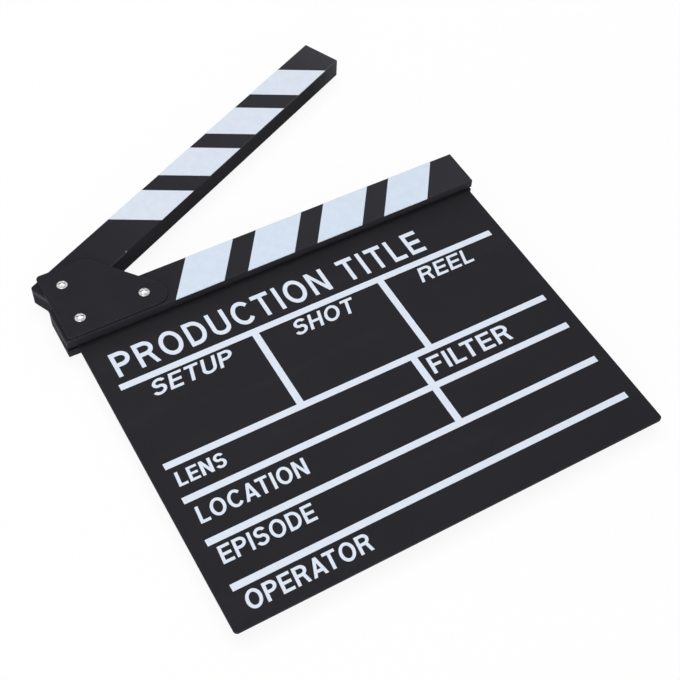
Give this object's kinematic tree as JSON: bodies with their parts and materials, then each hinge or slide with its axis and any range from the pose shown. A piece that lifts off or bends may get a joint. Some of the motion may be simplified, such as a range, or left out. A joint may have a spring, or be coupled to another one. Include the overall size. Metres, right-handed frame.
{
  "type": "clapperboard",
  "caption": "Clapperboard: a writing slate held in a grooved stick, with a striped clapper stick that swings on a pivot between hinge plates and claps shut.",
  "frame": {"origin": "the middle of the board's lower edge, halfway through the board's thickness", "axes": "the board lies on its back: +Z out of the printed front, +Y from the lower edge towards the clapper, +X along the sticks away from the hinge"},
  "size_m": [0.303, 0.397, 0.0217],
  "materials": {
    "board_black": "matt black paint on thin fibreboard",
    "stick_black": "satin black paint on wood",
    "plate_black": "satin black coating on thin sheet steel",
    "bright_steel": "bright plated steel",
    "white_print": "white screen-printed ink"
  },
  "bodies": {
    "slate": {"slate_board": "board_black", "lower_stick": "stick_black", "front_hinge_plate": "plate_black", "back_hinge_plate": "plate_black", "pivot_screw": "bright_steel", "pivot_barrel_nut": "bright_steel", "fixing_screws": "bright_steel", "fixing_barrel_nuts": "bright_steel"},
    "clapper": {"clapper_stick": "stick_black"}
  },
  "joints": [
    {"name": "clapper_hinge", "type": "hinge", "parent": "slate", "child": "clapper", "pos_m": [-0.1367, 0.2611, 0], "axis": [0, 0, 1], "range_deg": [-25.3, 59.7]}
  ]
}
